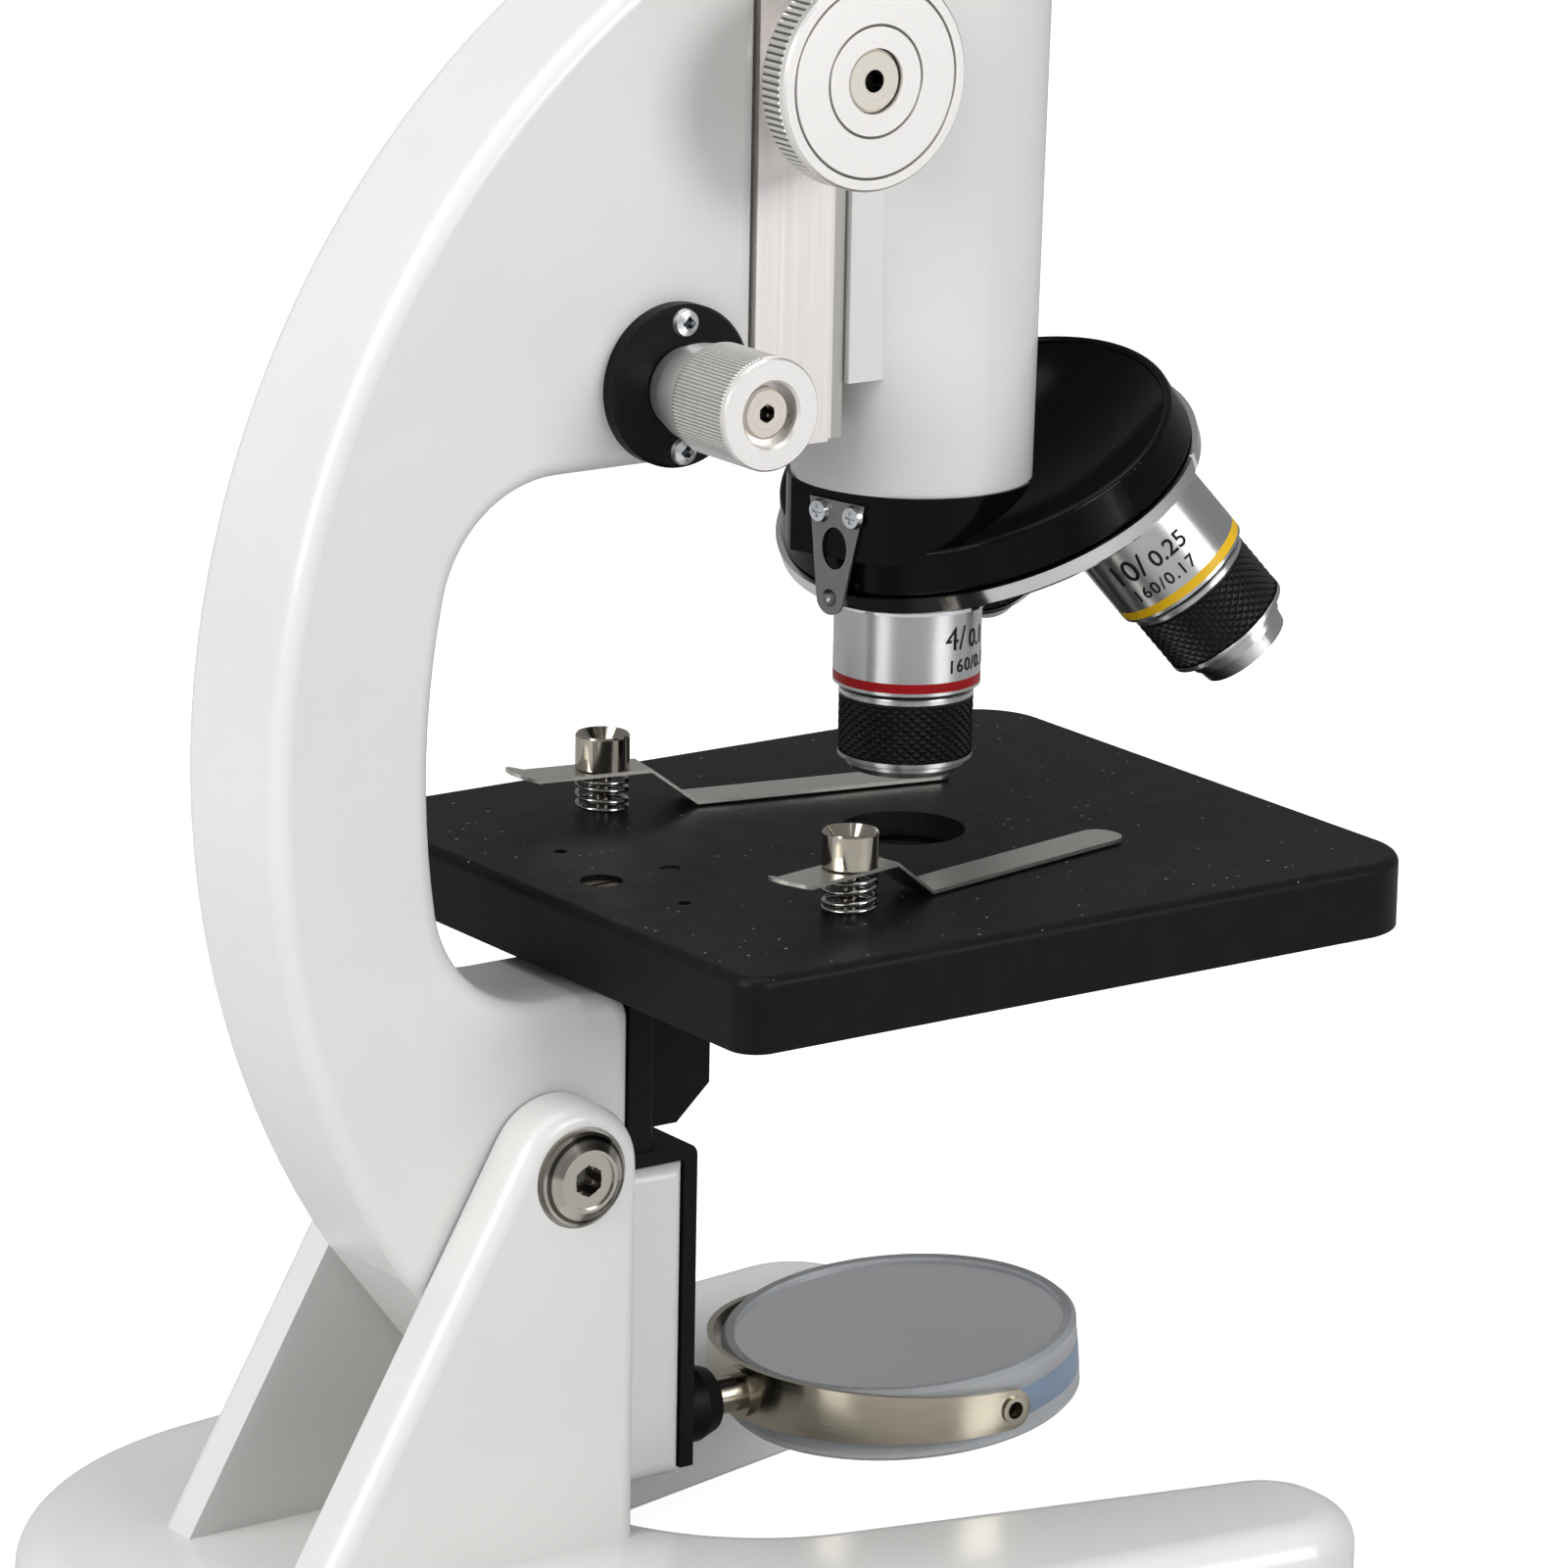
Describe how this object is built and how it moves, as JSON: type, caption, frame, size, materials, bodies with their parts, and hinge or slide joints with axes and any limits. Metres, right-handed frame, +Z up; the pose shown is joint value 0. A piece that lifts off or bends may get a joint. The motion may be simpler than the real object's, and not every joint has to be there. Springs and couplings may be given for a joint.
{
  "type": "microscope",
  "caption": "Upright student microscope: C-shaped arm inclining on a horseshoe base, square stage with spring clips, turning nosepiece, rack focusing and a swivelling mirror.",
  "frame": {"origin": "on the table under the middle of the object's outline", "axes": "+Z up, +X to the operator's right, +Y from the arm towards the front of the stage"},
  "size_m": [0.154, 0.2106, 0.3242],
  "materials": {
    "white_enamel": "gloss",
    "black_enamel": "satin",
    "black_gloss": "gloss",
    "satin_aluminium": "satin",
    "satin_chrome": "satin",
    "chrome": "polished",
    "nickel": "polished",
    "spring_steel": "brushed",
    "screw_steel": "bright",
    "brass": "machined",
    "grip_black": "black anodised",
    "band_red": "gloss",
    "band_yellow": "gloss",
    "band_blue": "gloss",
    "eyepiece_black": "satin",
    "lens_glass": "polished",
    "clear_cell": "clear",
    "mirror_glass": "polished"
  },
  "bodies": {
    "base": {"base": "white_enamel", "pivot_bolt": "nickel", "pivot_nut": "nickel"},
    "arm": {"arm": "white_enamel", "stage_bracket": "black_enamel", "stage": "black_enamel", "stage_screw": "screw_steel", "mirror_plate": "black_enamel", "fine_flange_right": "black_enamel", "fine_flange_left": "black_enamel", "flange_screws": "screw_steel", "clip_stud_right": "nickel", "clip_stud_left": "nickel", "clip_spring_right": "spring_steel", "clip_spring_left": "spring_steel", "diaphragm_screw": "screw_steel"},
    "clip_right": {"clip_leaf_right": "spring_steel"},
    "clip_left": {"clip_leaf_left": "spring_steel"},
    "diaphragm": {"diaphragm_disc": "black_enamel"},
    "fine_slide": {"slide_block": "satin_aluminium", "block_follower": "satin_aluminium"},
    "fine_knob": {"fine_shaft": "screw_steel", "fine_knob_right": "satin_aluminium", "fine_knob_left": "satin_aluminium", "fine_knob_screws": "screw_steel"},
    "fine_wedge": {"fine_wedge": "brass"},
    "coarse_knob": {"pinion_shaft": "screw_steel", "coarse_knob_right": "satin_aluminium", "coarse_knob_left": "satin_aluminium", "coarse_knob_screws": "screw_steel"},
    "tube": {"body_tube": "white_enamel", "tube_rail": "white_enamel", "rack": "brass", "nosepiece_body": "black_gloss", "click_spring": "spring_steel", "click_screws": "screw_steel", "turret_screw": "chrome", "eyepiece_tube": "black_gloss"},
    "eyepiece": {"eyepiece": "eyepiece_black", "eyepiece_lenses": "lens_glass"},
    "turret": {"turret_shell": "chrome", "objective_lenses": "lens_glass", "objective_4x_barrel": "satin_chrome", "objective_4x_band": "band_red", "objective_4x_sleeve": "grip_black", "objective_10x_barrel": "satin_chrome", "objective_10x_band": "band_yellow", "objective_10x_sleeve": "grip_black", "objective_40x_barrel": "satin_chrome", "objective_40x_band": "band_blue", "objective_40x_sleeve": "grip_black"},
    "mirror_fork": {"mirror_stem": "nickel", "mirror_fork": "nickel", "mirror_pivots": "nickel"},
    "mirror": {"mirror_cell": "clear_cell", "mirror_plane": "mirror_glass", "mirror_concave": "mirror_glass"}
  },
  "joints": [
    {"name": "arm_tilt", "type": "hinge", "parent": "base", "child": "arm", "pos_m": [0, -0.0295, 0.0818], "axis": [1, 0, 0], "range_deg": [0, 45]},
    {"name": "clip_right_swing", "type": "hinge", "parent": "arm", "child": "clip_right", "pos_m": [0.0332, 0.0107, 0.12], "axis": [0, 0, 1], "range_deg": [-60, 15]},
    {"name": "clip_left_swing", "type": "hinge", "parent": "arm", "child": "clip_left", "pos_m": [-0.0332, 0.0107, 0.12], "axis": [0, 0, 1], "range_deg": [-15, 60]},
    {"name": "diaphragm_turn", "type": "hinge", "parent": "arm", "child": "diaphragm", "pos_m": [0, 0.067, 0.115], "axis": [0, 0, 1], "continuous": true},
    {"name": "fine_travel", "type": "slide", "parent": "arm", "child": "fine_slide", "axis": [0, 0, 1], "range_m": [-0.0009, 0.0009]},
    {"name": "fine_turn", "type": "hinge", "parent": "arm", "child": "fine_knob", "pos_m": [0, -0.009, 0.1992], "axis": [1, 0, 0], "range_deg": [-720, 720]},
    {"name": "wedge_travel", "type": "slide", "parent": "arm", "child": "fine_wedge", "axis": [1, 0, 0], "range_m": [-0.006, 0.006]},
    {"name": "tube_travel", "type": "slide", "parent": "fine_slide", "child": "tube", "axis": [0, 0, 1], "range_m": [-0.0015, 0.04]},
    {"name": "coarse_turn", "type": "hinge", "parent": "fine_slide", "child": "coarse_knob", "pos_m": [0, 0.014, 0.245], "axis": [1, 0, 0], "range_deg": [-16, 410]},
    {"name": "eyepiece_lift", "type": "slide", "parent": "tube", "child": "eyepiece", "axis": [0, 0, 1], "range_m": [0, 0.02]},
    {"name": "turret_turn", "type": "hinge", "parent": "tube", "child": "turret", "pos_m": [0, 0.045, 0.2109], "axis": [-0.0555, 0.3949, -0.9171], "continuous": true},
    {"name": "fork_swivel", "type": "hinge", "parent": "arm", "child": "mirror_fork", "pos_m": [0, 0.047, 0.0325], "axis": [0, 1, 0], "continuous": true},
    {"name": "mirror_tilt", "type": "hinge", "parent": "mirror_fork", "child": "mirror", "pos_m": [0, 0.047, 0.0325], "axis": [1, 0, 0], "continuous": true}
  ],
  "couplings": [
    {"joint": "fine_turn", "follows": "fine_travel", "rad_per_m": 13963},
    {"joint": "wedge_travel", "follows": "fine_travel", "ratio": 6.6667},
    {"joint": "coarse_turn", "follows": "tube_travel", "rad_per_m": 178.57}
  ]
}
